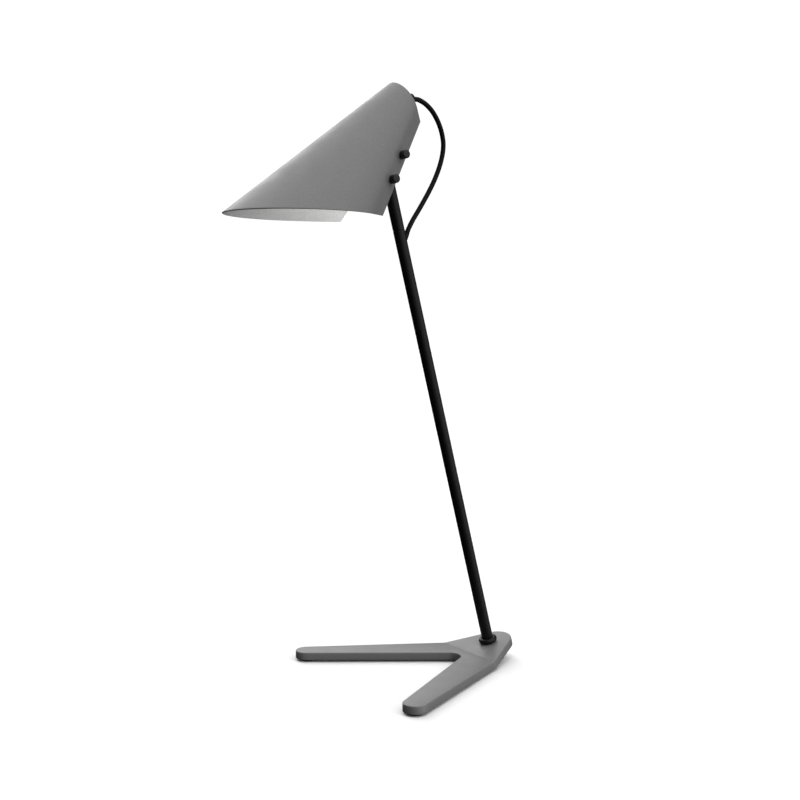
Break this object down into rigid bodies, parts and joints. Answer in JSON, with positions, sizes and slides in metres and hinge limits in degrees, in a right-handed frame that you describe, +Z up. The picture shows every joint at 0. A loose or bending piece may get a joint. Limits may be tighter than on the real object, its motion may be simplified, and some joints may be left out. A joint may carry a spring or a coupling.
{
  "type": "architect desk lamp",
  "caption": "Desk lamp with a rolled grey sheet shade that tilts on a slim black stem leaning forward from a V-shaped grey base plate.",
  "frame": {"origin": "on the resting surface, at the middle of the lamp's length and width", "axes": "+Z up, -Y forward towards the tip of the shade, +X to the lamp's right-hand side"},
  "size_m": [0.2312, 0.3307, 0.5984],
  "materials": {
    "grey_paint": "satin neutral grey powder paint",
    "black_coat": "satin black paint",
    "black_plastic": "satin moulded black plastic",
    "rubber": "matt black rubber",
    "cord_jacket": "smooth black cable jacket",
    "steel": "zinc plated steel",
    "brass": "stamped brass",
    "opal_glass": "frosted white glass"
  },
  "bodies": {
    "stand": {"base_plate": "grey_paint", "foot_arm_left": "rubber", "foot_arm_right": "rubber", "foot_heel_left": "rubber", "foot_heel_right": "rubber", "stem_nipple": "steel", "nipple_washer": "steel", "nipple_nut": "steel", "cable_outlet_bush": "rubber", "stem_ring": "black_coat", "stem_tube": "black_coat", "stem_head": "black_coat", "cord_entry_sleeve": "rubber", "head_cord": "cord_jacket"},
    "head": {"shade": "grey_paint", "shade_end_plate": "grey_paint", "tilt_bracket": "steel", "friction_washer_left": "rubber", "friction_washer_right": "rubber", "pivot_rod": "steel", "pivot_spacer_left": "black_coat", "pivot_spacer_right": "black_coat", "pivot_seat_left": "black_plastic", "pivot_seat_right": "black_plastic", "stop_rod": "steel", "stop_spacer_left": "black_coat", "stop_spacer_right": "black_coat", "stop_seat_left": "black_plastic", "stop_seat_right": "black_plastic", "lampholder_body": "black_plastic", "lampholder_nipple": "steel", "lampholder_sleeve": "brass", "lampholder_contact": "brass", "bulb_cap": "brass", "bulb_glass": "opal_glass", "gland_nut": "steel", "cord_gland": "rubber"},
    "pivot_knob_left_body": {"pivot_knob_left": "black_plastic"},
    "pivot_knob_right_body": {"pivot_knob_right": "black_plastic"},
    "stop_knob_left_body": {"stop_knob_left": "black_plastic"},
    "stop_knob_right_body": {"stop_knob_right": "black_plastic"}
  },
  "joints": [
    {"name": "head_tilt", "type": "hinge", "parent": "stand", "child": "head", "pos_m": [0, 0.0061, 0.52366], "axis": [1, 0, 0], "range_deg": [-30, 18], "deforming": ["head_cord"]},
    {"name": "pivot_knob_left_turn", "type": "hinge", "parent": "head", "child": "pivot_knob_left_body", "pos_m": [0, 0.0061, 0.52366], "axis": [-1, 0, 0], "range_deg": [0, 270]},
    {"name": "pivot_knob_right_turn", "type": "hinge", "parent": "head", "child": "pivot_knob_right_body", "pos_m": [0, 0.0061, 0.52366], "axis": [1, 0, 0], "range_deg": [0, 270]},
    {"name": "stop_knob_left_turn", "type": "hinge", "parent": "head", "child": "stop_knob_left_body", "pos_m": [0, -0.01006, 0.49845], "axis": [-1, 0, 0], "range_deg": [0, 270]},
    {"name": "stop_knob_right_turn", "type": "hinge", "parent": "head", "child": "stop_knob_right_body", "pos_m": [0, -0.01006, 0.49845], "axis": [1, 0, 0], "range_deg": [0, 270]}
  ]
}
